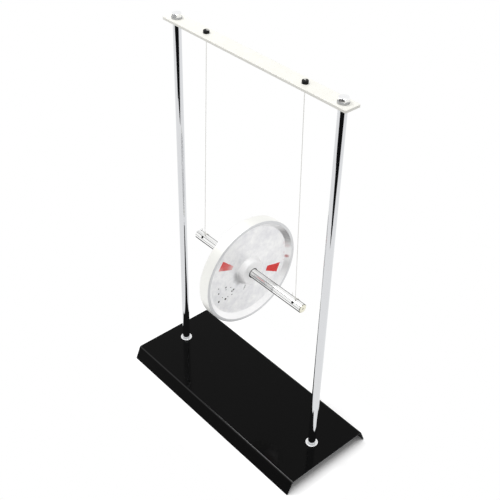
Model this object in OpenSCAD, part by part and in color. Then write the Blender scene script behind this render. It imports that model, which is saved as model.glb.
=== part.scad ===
// Maxwell wheel: a rimmed disc on a cross-drilled axle, hung by strings from a bar on a post stand.
// +X runs along the bar and the axle, +Y across the base, +Z up, with z = 0 on the table.

/* [Base] */
// Length of the base along the bar
base_len = 300; // [280:1:400]
// Width of the flat top between its bends
base_top_w = 117; // [80:1:160]
// Height of the base top above the table
base_h = 18; // [14.5:0.5:30]
// Thickness of the base sheet
base_sheet = 1.5; // [1:0.1:2.5]
// How far each long flange flares outwards
flange_flare = 7.5; // [3:0.5:14]
// Inside radius of the long bends
bend_r = 0.9; // [0.6:0.1:3]

/* [Posts] */
// Diameter of a post
post_d = 9.5; // [9:0.1:13]
// Distance from an end of the base to a post's axis
post_inset = 27.5; // [16:0.5:34]
// Chamfer on the top end of a post
post_chamfer = 0.5; // [0.2:0.1:1]
// Diameter of the threaded spigot under a post
spigot_d = 8; // [6:0.1:8.5]
// Play around a spigot in the base, the washer and the nut
spigot_play = 0.2; // [0.05:0.05:0.4]
// Length of spigot that shows below its nut
spigot_tip = 1.5; // [0.5:0.1:2.5]
// Outside diameter of the collar at a post's foot
collar_d = 15; // [14:0.1:20]
// Height of the collar
collar_h = 2.4; // [1.6:0.1:4]
// Width of the raised lip around the collar
collar_lip_w = 1.2; // [0.8:0.1:2]
// Depth of the dish inside the collar's lip
collar_dish = 0.5; // [0.2:0.1:0.8]
// Play between a collar and its post
collar_play = 0.05; // [0.02:0.01:0.2]
// Outside diameter of the washer under the base
foot_washer_d = 16; // [14.5:0.5:20]
// Thickness of the washer under the base
foot_washer_t = 1.6; // [1:0.1:2]
// Width across the flats of the foot nut
foot_nut_af = 13; // [11:0.5:14]
// Height of the foot nut
foot_nut_h = 6.5; // [4:0.5:7]

/* [Bar] */
// Length of bar beyond a post's axis
bar_overhang = 12.5; // [8:0.5:30]
// Width of the bar
bar_w = 20; // [15:0.5:30]
// Thickness of the bar
bar_t = 3; // [2:0.1:5]
// Height of the bar's underside above the table
bar_z = 476.5; // [440:0.5:600]
// Corner radius of the bar
bar_corner_r = 1.5; // [0.5:0.1:4]

/* [Bar bolts] */
// Diameter of the bolt's shank
bolt_d = 5.9; // [5:0.1:6.5]
// Play between the bolt and what it passes through
bolt_play = 0.05; // [0.02:0.01:0.2]
// Length of shank inside the post
bolt_grip = 14; // [8:1:30]
// Width across the flats of the bolt head
bolt_af = 10; // [8.5:0.5:12]
// Height of the bolt head
bolt_head_h = 4.2; // [3:0.1:6]
// How far the bolt heads are turned from having corners along the bar
bolt_turn = 22; // [0:1:60]
// Outside diameter of the bolt's washer
bolt_washer_d = 12; // [11:0.1:14]
// Thickness of the bolt's washer
bolt_washer_t = 1.6; // [0.8:0.1:2.5]
// Depth of the blind hole below the end of the bolt
tap_spare = 4; // [1:0.5:8]

/* [String screws] */
// Distance between the string screws
screw_gap = 146; // [120:1:180]
// Diameter of a string screw's head
screw_head_d = 6.8; // [6.5:0.1:9]
// Height of a string screw's head
screw_head_h = 3.3; // [2.6:0.1:4]
// Radius on the head's top edge
screw_head_r = 0.8; // [0.3:0.1:1]
// Diameter of a string screw's shank
screw_d = 4; // [3.4:0.1:4.4]
// Play of the shank in the bar and in its nut
screw_play = 0.05; // [0.02:0.01:0.2]
// Diameter of the string hole down the screw
screw_bore_d = 1.6; // [1.4:0.1:2]
// Width of the half slot in the head
slot_w = 2.2; // [2.1:0.1:2.6]
// Depth of the half slot in the head
slot_depth = 2; // [1.4:0.1:2.4]
// Direction of the left half slot
left_slot_angle = 35; // [0:5:360]
// Direction of the right half slot
right_slot_angle = 150; // [0:5:360]
// Width across the flats of the screw's nut
screw_nut_af = 7; // [6:0.5:9]
// Height of the screw's nut
screw_nut_h = 3.2; // [2:0.1:4]
// Length of shank that shows below the nut
screw_tip = 1.3; // [0.5:0.1:3]

/* [Wheel] */
// Outside diameter of the wheel
wheel_d = 133; // [128:1:150]
// Width of the rim
rim_w = 15; // [11:0.5:24]
// Width of the rim's flat faces
rim_face_w = 3.5; // [2:0.5:8]
// Width of the slope from a flat face to the web
rim_slope_w = 5.5; // [4:0.5:12]
// Radius on the rim's corners
rim_edge_r = 0.6; // [0.2:0.1:1.2]
// Thickness of the web
web_t = 4; // [3:0.1:8]
// Fillet radius at both edges of the web
web_fillet_r = 1.5; // [0.5:0.1:3]
// Width of the hub
hub_w = 18; // [13:0.5:30]
// Diameter of the hub's end faces
hub_face_d = 30; // [24:0.5:34]
// Diameter of the hub where it meets the web
hub_root_d = 36; // [35:0.5:46]
// Radius on the hub's shoulder
hub_shoulder_r = 1.5; // [0.5:0.1:3]
// Chamfer at the mouths of the hub's bore
hub_chamfer = 0.8; // [0.3:0.1:1.5]

/* [Axle] */
// Diameter of the axle
axle_d = 11.1; // [8:0.1:12]
// Length of the axle
axle_len = 183; // [170:1:205]
// Height of the axle above the table with the strings unwound
axle_z = 212.7; // [190:0.1:250]
// Chamfer on the axle's ends
axle_chamfer = 0.6; // [0.2:0.1:1.2]
// Diameter of the centre mark in each end
centre_d = 2; // [1:0.1:3]
// Distance between the axle's cross holes
hole_gap = 158; // [140:1:164]
// Diameter of a cross hole
hole_d = 2.8; // [2.5:0.1:3.2]
// Direction of the cross holes around the axle, from +Y towards +Z
hole_angle = 140; // [90:5:180]

/* [Strings] */
// Diameter of the string
string_d = 0.8; // [0.5:0.1:0.9]
// Distance between the strands of a sling
strand_gap = 1.3; // [1.2:0.05:1.4]
// Play between a sling and the axle, and between a sling and its knot
sling_play = 0.1; // [0.05:0.05:0.3]
// Diameter of a knot above the axle
knot_d = 2.2; // [1.6:0.1:3]
// Height of a knot above the axle
knot_h = 2.6; // [2:0.1:4]
// Diameter of the stopper knot in a slot
stopper_d = 2; // [1.4:0.1:2]

/* [Marks] */
// Distance from the rim's slope to a mark's outer end
mark_gap = 7; // [2:0.5:12]
// Length of a mark
mark_len = 20.5; // [10:0.5:24]
// Thickness of a mark
mark_t = 0.2; // [0.1:0.05:0.4]
// Width of the left mark's inner end
left_mark_w0 = 4.5; // [2:0.5:8]
// Width of the left mark's outer end
left_mark_w1 = 12.5; // [8:0.5:16]
// Direction of the left mark, from +Y towards +Z
left_mark_angle = 148; // [120:1:180]
// Width of the right mark's inner end
right_mark_w0 = 6.5; // [2:0.5:8]
// Width of the right mark's outer end
right_mark_w1 = 12.5; // [8:0.5:16]
// Direction of the right mark, from +Y towards +Z
right_mark_angle = -22; // [-60:1:0]

/* [Hidden] */
$fn = 48;
// Facets of a corner arc in a turned outline
arc_steps = 5;
// How far a cutting shape runs past what it cuts
over = 1;
// Places along X of the left and the right copy of a piece
left = -1;
right = 1;
post_x = base_len / 2 - post_inset;
bar_len = 2 * (post_x + bar_overhang);
screw_x = screw_gap / 2;
hole_x = hole_gap / 2;
// The long bends: how far they turn, and where each is centred
flange_turn = atan(base_h / flange_flare);
bend_out_r = bend_r + base_sheet;
bend_y = base_top_w / 2 - bend_out_r * tan(flange_turn / 2);
bend_z = base_h - bend_out_r;
flange_run = base_h / sin(flange_turn) + base_sheet;
// Levels under the base, from the sheet down
washer_z = base_h - base_sheet - foot_washer_t;
foot_nut_z = washer_z - foot_nut_h;
spigot_z = foot_nut_z - spigot_tip;
// Levels above and below the bar
bar_top = bar_z + bar_t;
screw_tip_z = bar_z - screw_nut_h - screw_tip;
slot_floor = bar_top + screw_head_h - slot_depth;
// Radius at which a sling's string runs round the axle
wrap_r = axle_d / 2 + sling_play + string_d / 2;
knot_z = axle_z + wrap_r + string_d / 2 + sling_play;
// Radii where the rim's flat face and its slope end, and of a mark's two ends
rim_inner_r = wheel_d / 2 - rim_face_w;
rim_root_r = rim_inner_r - rim_slope_w;
mark_r1 = rim_root_r - mark_gap;
mark_r0 = mark_r1 - mark_len;
// A strand is a little thicker where it turns into the hole, and thinner inside it
turn_d = string_d * 1.06;
inside_d = string_d * 0.96;

// Points of an outline whose corners [x, y, radius] are rounded off with arcs
function corner(before, at, after) =
    let (u = [before.x - at.x, before.y - at.y])
    let (v = [after.x - at.x, after.y - at.y])
    let (in_dir = u / norm(u))
    let (out_dir = v / norm(v))
    let (half = acos(in_dir * out_dir) / 2)
    let (mid = (in_dir + out_dir) / norm(in_dir + out_dir))
    let (centre = [at.x, at.y] + mid * at.z / sin(half))
    let (from = [at.x, at.y] + in_dir * at.z / tan(half) - centre)
    let (side = sign(cross(in_dir, out_dir)))
    let (sweep = -side * (180 - 2 * half))
    [for (i = [0 : arc_steps])
        let (a = sweep * i / arc_steps)
        centre + [from.x * cos(a) - from.y * sin(a), from.x * sin(a) + from.y * cos(a)]];

function rounded(points) =
    let (n = len(points))
    [for (i = [0 : n - 1])
        each points[i].z > 0
            ? corner(points[(i + n - 1) % n], points[i], points[(i + 1) % n])
            : [[points[i].x, points[i].y]]];

// Lays a shape drawn in the XY plane into the YZ plane, with its Z along +X
module along_x() {
    rotate([90, 0, 90]) children();
}

module ring(outer_d, inner_d, h) {
    difference() {
        cylinder(d = outer_d, h = h);
        translate([0, 0, -over]) cylinder(d = inner_d, h = h + 2 * over);
    }
}

// A hexagon with its upper corners turned off at 30 degrees
module hexagon(af, h) {
    corner_r = af / 2 / cos(30);
    drop = (corner_r - af / 2) * tan(30);
    intersection() {
        cylinder(r = corner_r, h = h, $fn = 6);
        rotate_extrude() polygon([
            [0, 0], [corner_r + over, 0], [corner_r + over, h - drop - over * tan(30)],
            [af / 2, h], [0, h]
        ]);
    }
}

// One bend and one flared flange of the base, on the +Y side
module base_side() {
    translate([bend_y, bend_z]) {
        intersection() {
            difference() {
                circle(r = bend_out_r);
                circle(r = bend_r);
            }
            polygon([
                [0, 0], [0, 2 * bend_out_r], [2 * bend_out_r, 2 * bend_out_r],
                2 * bend_out_r * [sin(flange_turn), cos(flange_turn)]
            ]);
        }
        rotate(-flange_turn) translate([0, bend_r]) square([flange_run, base_sheet]);
    }
}

module base_plate() {
    color("#17181a") difference() {
        along_x() linear_extrude(base_len, center = true) intersection() {
            union() {
                translate([-bend_y, base_h - base_sheet]) square([2 * bend_y, base_sheet]);
                base_side();
                mirror([1, 0]) base_side();
            }
            translate([-base_top_w, 0]) square([2 * base_top_w, base_h]);
        }
        for (side = [left, right])
            translate([side * post_x, 0, 0]) cylinder(d = spigot_d + 2 * spigot_play, h = base_h + over);
    }
}

module post(side) {
    color("#d5d8dc") translate([side * post_x, 0, 0]) difference() {
        rotate_extrude() polygon([
            [0, spigot_z], [spigot_d / 2, spigot_z], [spigot_d / 2, base_h], [post_d / 2, base_h],
            [post_d / 2, bar_z - post_chamfer], [post_d / 2 - post_chamfer, bar_z], [0, bar_z]
        ]);
        translate([0, 0, bar_z - bolt_grip - tap_spare])
            cylinder(d = bolt_d + 2 * bolt_play, h = bolt_grip + tap_spare + over);
    }
}

// Turned collar round a post's foot, dished inside its lip
module foot_collar(side) {
    bore_r = post_d / 2 + collar_play;
    outer_r = collar_d / 2;
    dish_r = outer_r - collar_lip_w;
    color("#d9dbdd") translate([side * post_x, 0, base_h]) rotate_extrude() polygon(rounded([
        [bore_r, 0, 0], [outer_r, 0, 0], [outer_r, collar_h, collar_lip_w / 3],
        [dish_r, collar_h, collar_lip_w / 4], [dish_r - collar_dish, collar_h - collar_dish, 0],
        [bore_r, collar_h - collar_dish, 0]
    ]));
}

module foot_washer(side) {
    color("#b9bcc0") translate([side * post_x, 0, washer_z])
        ring(foot_washer_d, spigot_d + 2 * spigot_play, foot_washer_t);
}

module foot_nut(side) {
    color("#b9bcc0") translate([side * post_x, 0, washer_z]) mirror([0, 0, 1]) difference() {
        hexagon(foot_nut_af, foot_nut_h);
        translate([0, 0, -over]) cylinder(d = spigot_d + 2 * spigot_play, h = foot_nut_h + 2 * over);
    }
}

module top_bar() {
    inset = [bar_len / 2 - bar_corner_r, bar_w / 2 - bar_corner_r];
    color("#f2efe6") difference() {
        translate([0, 0, bar_z]) linear_extrude(bar_t) union() {
            square([bar_len - 2 * bar_corner_r, bar_w], center = true);
            square([bar_len, bar_w - 2 * bar_corner_r], center = true);
            for (x = [left, right], y = [-1, 1])
                translate([x * inset.x, y * inset.y]) circle(r = bar_corner_r);
        }
        for (side = [left, right]) {
            translate([side * post_x, 0, bar_z - over])
                cylinder(d = bolt_d + 2 * bolt_play, h = bar_t + 2 * over);
            translate([side * screw_x, 0, bar_z - over])
                cylinder(d = screw_d + 2 * screw_play, h = bar_t + 2 * over);
        }
    }
}

module bolt_washer(side) {
    color("#c4c6c9") translate([side * post_x, 0, bar_top])
        ring(bolt_washer_d, bolt_d + 2 * bolt_play, bolt_washer_t);
}

module bolt(side) {
    shank_len = bolt_washer_t + bar_t + bolt_grip;
    color("#cfd1d3") translate([side * post_x, 0, bar_top + bolt_washer_t]) {
        rotate(bolt_turn) hexagon(bolt_af, bolt_head_h);
        translate([0, 0, -shank_len]) cylinder(d = bolt_d, h = shank_len + over);
    }
}

// Hollow screw whose half slot leads the string from the bore to the edge of the head
module string_screw(side, slot_angle) {
    color("#121212") translate([side * screw_x, 0, 0]) difference() {
        rotate_extrude() polygon(rounded([
            [screw_bore_d / 2, screw_tip_z, 0], [screw_d / 2, screw_tip_z, 0],
            [screw_d / 2, bar_top, 0], [screw_head_d / 2, bar_top, 0],
            [screw_head_d / 2, bar_top + screw_head_h, screw_head_r],
            [screw_bore_d / 2, bar_top + screw_head_h, 0]
        ]));
        rotate(slot_angle) translate([0, -slot_w / 2, slot_floor])
            cube([screw_head_d, slot_w, screw_head_h]);
    }
}

module screw_nut(side) {
    color("#b9bcc0") translate([side * screw_x, 0, bar_z]) mirror([0, 0, 1]) difference() {
        hexagon(screw_nut_af, screw_nut_h);
        translate([0, 0, -over]) cylinder(d = screw_d + 2 * screw_play, h = screw_nut_h + 2 * over);
    }
}

// End of the string: up the screw, over the slot's floor, and a stopper knot at the edge
module stopper_knot(side, slot_angle) {
    lead_z = slot_floor + stopper_d / 2;
    knot_x = screw_head_d / 2 - stopper_d / 2;
    color("#f4f4f0") translate([side * screw_x, 0, 0]) {
        translate([0, 0, screw_tip_z]) cylinder(d = inside_d, h = lead_z - screw_tip_z);
        rotate(slot_angle) {
            translate([0, 0, lead_z]) sphere(d = turn_d);
            translate([0, 0, lead_z]) rotate([0, 90, 0]) cylinder(d = inside_d, h = knot_x);
            translate([knot_x, 0, lead_z]) sphere(d = stopper_d);
        }
    }
}

// Taut string from the mouth of its screw down to the knot above the axle
module string(side) {
    top = [side * screw_x, 0, screw_tip_z];
    low = [side * hole_x, 0, knot_z + knot_h];
    run = top - low;
    color("#f4f4f0") translate(low) rotate([0, atan2(run.x, run.z), 0])
        cylinder(d = string_d, h = norm(run));
}

// Knot that closes a sling, with a bulge for each of its turns
module knot(side) {
    r = knot_d / 2;
    waist = r * 0.85;
    color("#f4f4f0") translate([side * hole_x, 0, knot_z]) rotate_extrude() polygon(rounded([
        [0, 0, 0], [waist, 0, waist / 3], [r, knot_h / 4, r / 5], [waist, knot_h / 2, r / 6],
        [r, knot_h * 3 / 4, r / 5], [waist, knot_h, waist / 3], [0, knot_h, 0]
    ]));
}

// Paired strands from under the knot, down the back of the axle and into its cross hole
module sling(side) {
    reach = 270 - hole_angle;
    color("#f4f4f0") for (strand = [-1, 1])
        translate([side * hole_x + strand * strand_gap / 2, 0, axle_z]) along_x() rotate(hole_angle + 180) {
            rotate_extrude(angle = reach) translate([wrap_r, 0]) circle(d = string_d);
            rotate([0, 90, 0]) cylinder(d = inside_d, h = wrap_r);
            for (turn = [0, reach]) rotate(turn) translate([wrap_r, 0, 0]) sphere(d = turn_d);
        }
}

// Steel rod with chamfered, centre-marked ends and a cross hole for each sling
module axle() {
    half = axle_len / 2;
    r = axle_d / 2;
    color("#d2d4d6") translate([0, 0, axle_z]) difference() {
        along_x() rotate_extrude() polygon([
            [0, -half + centre_d / 2], [centre_d / 2, -half], [r - axle_chamfer, -half],
            [r, -half + axle_chamfer], [r, half - axle_chamfer], [r - axle_chamfer, half],
            [centre_d / 2, half], [0, half - centre_d / 2]
        ]);
        for (side = [left, right])
            translate([side * hole_x, 0, 0]) along_x() rotate(hole_angle) rotate([0, 90, 0])
                cylinder(d = hole_d, h = axle_d + 2 * over, center = true);
    }
}

// Cast disc: hub with drafted sides, thin web, and a rim whose inner face slopes to the web
module wheel_disc() {
    bore_r = axle_d / 2;
    front = [
        [bore_r, hub_w / 2 - hub_chamfer, 0], [bore_r + hub_chamfer, hub_w / 2, 0],
        [hub_face_d / 2, hub_w / 2, hub_shoulder_r], [hub_root_d / 2, web_t / 2, web_fillet_r],
        [rim_root_r, web_t / 2, web_fillet_r], [rim_inner_r, rim_w / 2, rim_edge_r],
        [wheel_d / 2, rim_w / 2, rim_edge_r]
    ];
    back = [for (i = [len(front) - 1 : -1 : 0]) [front[i].x, -front[i].y, front[i].z]];
    color("#c9c9c8") translate([0, 0, axle_z]) along_x()
        rotate_extrude($fn = 96) polygon(rounded(concat(front, back)));
}

// Thin red wedge on the front of the web, narrow towards the hub
module red_mark(angle, w0, w1) {
    color("#d8221c") translate([web_t / 2, 0, axle_z]) along_x() rotate(angle) linear_extrude(mark_t)
        polygon([[mark_r0, -w0 / 2], [mark_r1, -w1 / 2], [mark_r1, w1 / 2], [mark_r0, w0 / 2]]);
}

base_plate();
post(left);  // left_post
post(right);  // right_post
foot_collar(left);  // left_foot_collar
foot_collar(right);  // right_foot_collar
foot_washer(left);  // left_foot_washer
foot_washer(right);  // right_foot_washer
foot_nut(left);  // left_foot_nut
foot_nut(right);  // right_foot_nut
top_bar();
bolt(left);  // left_bolt
bolt(right);  // right_bolt
bolt_washer(left);  // left_bolt_washer
bolt_washer(right);  // right_bolt_washer
string_screw(left, left_slot_angle);  // left_string_screw
string_screw(right, right_slot_angle);  // right_string_screw
screw_nut(left);  // left_screw_nut
screw_nut(right);  // right_screw_nut
stopper_knot(left, left_slot_angle);  // left_stopper_knot
stopper_knot(right, right_slot_angle);  // right_stopper_knot
string(left);  // left_string
string(right);  // right_string
knot(left);  // left_knot
knot(right);  // right_knot
sling(left);  // left_sling
sling(right);  // right_sling
axle();
wheel_disc();
red_mark(left_mark_angle, left_mark_w0, left_mark_w1);  // left_red_mark
red_mark(right_mark_angle, right_mark_w0, right_mark_w1);  // right_red_mark
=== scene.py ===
import math

import bmesh
import bpy
from mathutils import Matrix, Quaternion, Vector, noise


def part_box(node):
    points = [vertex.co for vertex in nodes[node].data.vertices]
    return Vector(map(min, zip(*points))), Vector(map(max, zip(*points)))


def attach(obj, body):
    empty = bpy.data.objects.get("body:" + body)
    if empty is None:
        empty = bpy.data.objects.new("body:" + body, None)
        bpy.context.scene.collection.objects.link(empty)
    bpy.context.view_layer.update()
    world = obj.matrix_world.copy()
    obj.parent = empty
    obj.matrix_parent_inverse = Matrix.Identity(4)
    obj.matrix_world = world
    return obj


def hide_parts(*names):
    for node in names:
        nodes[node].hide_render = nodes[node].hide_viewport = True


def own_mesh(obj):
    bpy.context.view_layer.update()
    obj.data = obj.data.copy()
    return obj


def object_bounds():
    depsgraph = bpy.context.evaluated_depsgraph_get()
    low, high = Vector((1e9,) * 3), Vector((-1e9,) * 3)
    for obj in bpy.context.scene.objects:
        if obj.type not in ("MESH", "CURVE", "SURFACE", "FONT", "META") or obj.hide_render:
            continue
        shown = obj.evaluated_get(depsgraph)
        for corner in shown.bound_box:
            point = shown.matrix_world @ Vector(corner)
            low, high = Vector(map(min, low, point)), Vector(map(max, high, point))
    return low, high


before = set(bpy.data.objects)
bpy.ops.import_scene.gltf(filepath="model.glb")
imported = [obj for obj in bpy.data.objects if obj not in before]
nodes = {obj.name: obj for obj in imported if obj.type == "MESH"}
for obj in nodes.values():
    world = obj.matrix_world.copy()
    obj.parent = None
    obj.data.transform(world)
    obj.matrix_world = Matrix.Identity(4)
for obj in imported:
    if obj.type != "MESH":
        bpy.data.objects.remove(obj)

cadBox = [list(corner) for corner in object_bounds()]
scene = bpy.context.scene
scene.view_settings.view_transform = "Standard"
sides = {"left": -1, "right": 1}
mm = 0.001
print("frame loaded:", len(nodes), "nodes")


# Camera at the photograph's viewing angle
cameraSetup = {
    "target": (0.97 * mm, 1.41 * mm, 240.69 * mm),
    "distance": 1022.57 * mm,
    "azimuth": 47.67,    # degrees round from the base's front
    "elevation": 37.24,
    "roll": 1.49,
    "lens": 64.33,       # mm on a 36 mm sensor
    "sensor": 36.0,
}


def placeCamera(setup):
    turn, rise = math.radians(setup["azimuth"]), math.radians(setup["elevation"])
    back = Vector((math.sin(turn) * math.cos(rise), -math.cos(turn) * math.cos(rise), math.sin(rise)))
    lens = bpy.data.cameras.new("photoCamera")
    lens.lens, lens.sensor_width = setup["lens"], setup["sensor"]
    lens.clip_start, lens.clip_end = 0.01, 100
    camera = bpy.data.objects.new("photoCamera", lens)
    scene.collection.objects.link(camera)
    camera.location = Vector(setup["target"]) + back * setup["distance"]
    camera.rotation_mode = "QUATERNION"
    level = (-back).to_track_quat("-Z", "Y")
    camera.rotation_quaternion = level @ Quaternion((0, 0, 1), math.radians(setup["roll"]))
    scene.camera = camera


placeCamera(cameraSetup)
print("camera placed")


# What several pieces and materials share
def linear(hexColour):  # sRGB hex to the linear colour that a shader takes
    parts = [int(hexColour[i:i + 2], 16) / 255 for i in (1, 3, 5)]
    return [p / 12.92 if p <= 0.04045 else ((p + 0.055) / 1.055) ** 2.4 for p in parts] + [1.0]


def addNode(tree, kind, values={}, links={}, **settings):
    node = tree.nodes.new(kind)
    for name, value in settings.items():
        setattr(node, name, value)
    for socket, value in values.items():
        node.inputs[socket].default_value = value
    for socket, source in links.items():
        tree.links.new(source, node.inputs[socket])
    return node


def newMaterial(name, constants):
    material = bpy.data.materials.new(name)
    material.use_nodes = True
    shader = material.node_tree.nodes["Principled BSDF"]
    for socket, value in constants.items():
        shader.inputs[socket].default_value = value
    return material, material.node_tree, shader


def onDisc(radius, angle):  # a place on a disc or rod along X, in degrees from +Y towards +Z
    turn = math.radians(angle)
    return 0, radius * math.cos(turn), radius * math.sin(turn)


def nearestSpot(tree, place, spots):  # how far a place lies outside the nearest of some round spots
    nearest = None
    for centre, width in spots:
        away = addNode(tree, "ShaderNodeVectorMath", {1: centre}, {0: place}, operation="DISTANCE")
        edge = addNode(tree, "ShaderNodeMath", {1: width / 2}, {0: away.outputs["Value"]},
                       operation="SUBTRACT")
        if nearest:
            edge = addNode(tree, "ShaderNodeMath", operation="MINIMUM",
                           links={0: nearest.outputs["Value"], 1: edge.outputs["Value"]})
        nearest = edge
    return nearest.outputs["Value"]


def makePiece(name, bm, body, material, replaced, sharpAngle=None):
    mesh = bpy.data.meshes.new(name)
    bm.to_mesh(mesh)
    bm.free()
    mesh.materials.append(material)
    mesh.shade_smooth()
    if sharpAngle:
        mesh.set_sharp_from_angle(angle=math.radians(sharpAngle))
    piece = bpy.data.objects.new(name, mesh)
    scene.collection.objects.link(piece)
    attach(piece, body)
    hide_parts(*replaced)
    return piece


# Twisted white thread: dull cotton plies, bright from every side, with soft dark furrows between them
def whiteThread():
    material, tree, shader = newMaterial("twistedWhiteThread", {
        "Roughness": 0.9, "Specular IOR Level": 0.2, "Sheen Weight": 0.25, "Sheen Roughness": 0.5})
    place = addNode(tree, "ShaderNodeTexCoord")
    fibre = addNode(tree, "ShaderNodeTexNoise", {"Scale": 1 / (0.35 * mm), "Detail": 3.0, "Roughness": 0.6},
                    {"Vector": place.outputs["Object"]})  # fibres of about 0.35 mm
    shade = addNode(tree, "ShaderNodeValToRGB", links={"Fac": fibre.outputs["Fac"]})
    shade.color_ramp.elements[0].color = linear("#F0EFE9")
    shade.color_ramp.elements[1].color = linear("#FEFDFA")
    bump = addNode(tree, "ShaderNodeBump", {"Strength": 0.25, "Distance": 0.03 * mm},
                   {"Height": fibre.outputs["Fac"]})
    tree.links.new(shade.outputs["Color"], shader.inputs["Base Color"])
    tree.links.new(bump.outputs["Normal"], shader.inputs["Normal"])
    return material


thread = {
    "diameter": 0.8 * mm,
    "plies": 3,
    "furrow": 0.22,          # share of the radius lost between two plies
    "lay": 2.6 * mm,         # length of one full twist
    "sidesPerPly": 4,
    "ringsPerTwist": 10,
}
threadMaterial = whiteThread()


def threadSection(bm):  # one loop of the lobed cross-section, flat at the origin
    loop = bmesh.ops.create_circle(bm, segments=thread["plies"] * thread["sidesPerPly"],
                                   radius=thread["diameter"] / 2)["verts"]
    for vertex in loop:
        around = math.atan2(vertex.co.y, vertex.co.x)
        vertex.co *= 1 - thread["furrow"] * (1 - math.cos(thread["plies"] * around)) / 2
    return loop


def straightThread(low, top):
    run = Vector(top) - Vector(low)
    twists = run.length / thread["lay"]
    steps = round(twists * thread["ringsPerTwist"])
    bm = bmesh.new()
    threadSection(bm)
    bmesh.ops.spin(bm, geom=bm.verts[:] + bm.edges[:], cent=(0, 0, 0), axis=(0, 0, 1),
                   dvec=(0, 0, run.length / steps), angle=twists * math.tau, steps=steps)
    bmesh.ops.holes_fill(bm, edges=[e for e in bm.edges if e.is_boundary], sides=0)
    bmesh.ops.recalc_face_normals(bm, faces=bm.faces)
    upright = run.to_track_quat("Z", "Y").to_matrix().to_4x4()
    bmesh.ops.transform(bm, matrix=Matrix.Translation(low) @ upright, verts=bm.verts)
    return bm


def sweepThread(bm, path):  # carries the section along the path, turning with it and twisting as it goes
    points = [Vector(p) for p in path]
    last = len(points) - 1
    ahead = [(points[min(i + 1, last)] - points[max(i - 1, 0)]).normalized() for i in range(last + 1)]
    ring = threadSection(bm)
    edges = list(dict.fromkeys(e for vertex in ring for e in vertex.link_edges))
    start = Matrix.Translation(points[0]) @ ahead[0].to_track_quat("Z", "Y").to_matrix().to_4x4()
    bmesh.ops.transform(bm, matrix=start, verts=ring)
    ends = edges[:]
    for i in range(1, len(points)):
        made = bmesh.ops.extrude_edge_only(bm, edges=edges)["geom"]
        ring = [g for g in made if isinstance(g, bmesh.types.BMVert)]
        edges = [g for g in made if isinstance(g, bmesh.types.BMEdge)]
        step = points[i] - points[i - 1]
        twist = Quaternion(ahead[i], step.length / thread["lay"] * math.tau)
        turn = twist @ ahead[i - 1].rotation_difference(ahead[i])
        bmesh.ops.translate(bm, verts=ring, vec=step)
        bmesh.ops.rotate(bm, verts=ring, cent=points[i], matrix=turn.to_matrix())
    bmesh.ops.holes_fill(bm, edges=ends + edges, sides=0)


# Strings: taut from the hollow screws in the bar down to the knots above the axle
stringRoute = {
    "topX": 73 * mm,
    "topZ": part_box("left_string_screw")[0].z,    # lower mouth of a screw
    "lowX": 79 * mm,
    "lowZ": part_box("left_knot")[1].z,
    "pathPoints": 24,
    "lift": 178 * mm,        # how far the wheel climbs as the string winds up
}


def hangString(side):
    top = Vector((sides[side] * stringRoute["topX"], 0, stringRoute["topZ"]))
    low = Vector((sides[side] * stringRoute["lowX"], 0, stringRoute["lowZ"]))
    piece = makePiece(side + "String", straightThread(low, top), "strings", threadMaterial,
                      [side + "_string"])
    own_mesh(piece)


for side in sides:
    hangString(side)
print("strings hung")


# Slings: two strands from under the knot, down the axle's back and into its cross hole
axleLow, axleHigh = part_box("axle")
axleZ = (axleLow.z + axleHigh.z) / 2
axleRadius = (axleHigh.z - axleLow.z) / 2
sling = {
    "holeX": 79 * mm,
    "holeAngle": 140,                    # degrees from +Y towards +Z
    "strandGap": 1.3 * mm,
    "clear": 0.1 * mm,                   # between thread and axle
    "corner": 0.75 * mm,                 # bend where a strand goes into the hole
    "arcSteps": 48,
    "mouthSteps": 6,
}
wrapRadius = axleRadius + sling["clear"] + thread["diameter"] / 2


def strandPath(x):  # from the middle of the hole out at its back mouth, then up the back to the axle's top
    mouth = math.radians(sling["holeAngle"] + 180)
    out = Vector((0, math.cos(mouth), math.sin(mouth)))
    along = Vector((0, -math.sin(mouth), math.cos(mouth)))
    corner, steps, mouthSteps = sling["corner"], sling["arcSteps"], sling["mouthSteps"]
    reach = math.sqrt(wrapRadius ** 2 - corner ** 2) - corner
    bend = math.asin(corner / wrapRadius)
    sweep = math.radians(270 - sling["holeAngle"])
    path = [out * reach * i / mouthSteps for i in range(mouthSteps)]
    for i in range(mouthSteps + 1):
        a = math.pi / 2 * i / mouthSteps
        path.append(out * (reach + corner * math.sin(a)) + along * corner * (1 - math.cos(a)))
    for i in range(1, steps + 1):
        a = bend + (sweep - bend) * i / steps
        path.append(wrapRadius * (out * math.cos(a) + along * math.sin(a)))
    return [Vector((x, 0, axleZ)) + p for p in path]


def wrapSling(side):
    middle = sides[side] * sling["holeX"]
    bm = bmesh.new()
    for strand in (-1, 1):
        sweepThread(bm, strandPath(middle + strand * sling["strandGap"] / 2))
    bmesh.ops.recalc_face_normals(bm, faces=bm.faces)
    makePiece(side + "Sling", bm, "wheel", threadMaterial, [side + "_sling"])


for side in sides:
    wrapSling(side)
print("slings wrapped")


# Knots: three turns of the thread round itself above the axle, and three in each screw's slot
knot = {
    "turns": 3,
    "coilRadius": 0.66 * mm,
    "stepsPerTurn": 20,
    # loose end, mm
    "tail": [(0, -0.5, 1.4), (-0.9, -1.5, 2.2), (-1.9, -2.0, 3.8), (-2.5, -2.2, 6.0), (-2.6, -2.1, 8.2)],
}
stopper = {
    "turns": 3,
    "coilRadius": 0.68 * mm,
    "coilLength": 2.8 * mm,
    "slotAngle": {"left": 35, "right": 150},
    "headRadius": 3.4 * mm,
    "leadZ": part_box("left_stopper_knot")[1].z - 0.3 * mm,    # the knot stands a little out of its slot
    "bend": 0.5 * mm,
    "bendSteps": 6,
    "riseSteps": 8,
    "inside": 0.2 * mm,      # starts this far up the screw, clear of the swinging string
}


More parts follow.
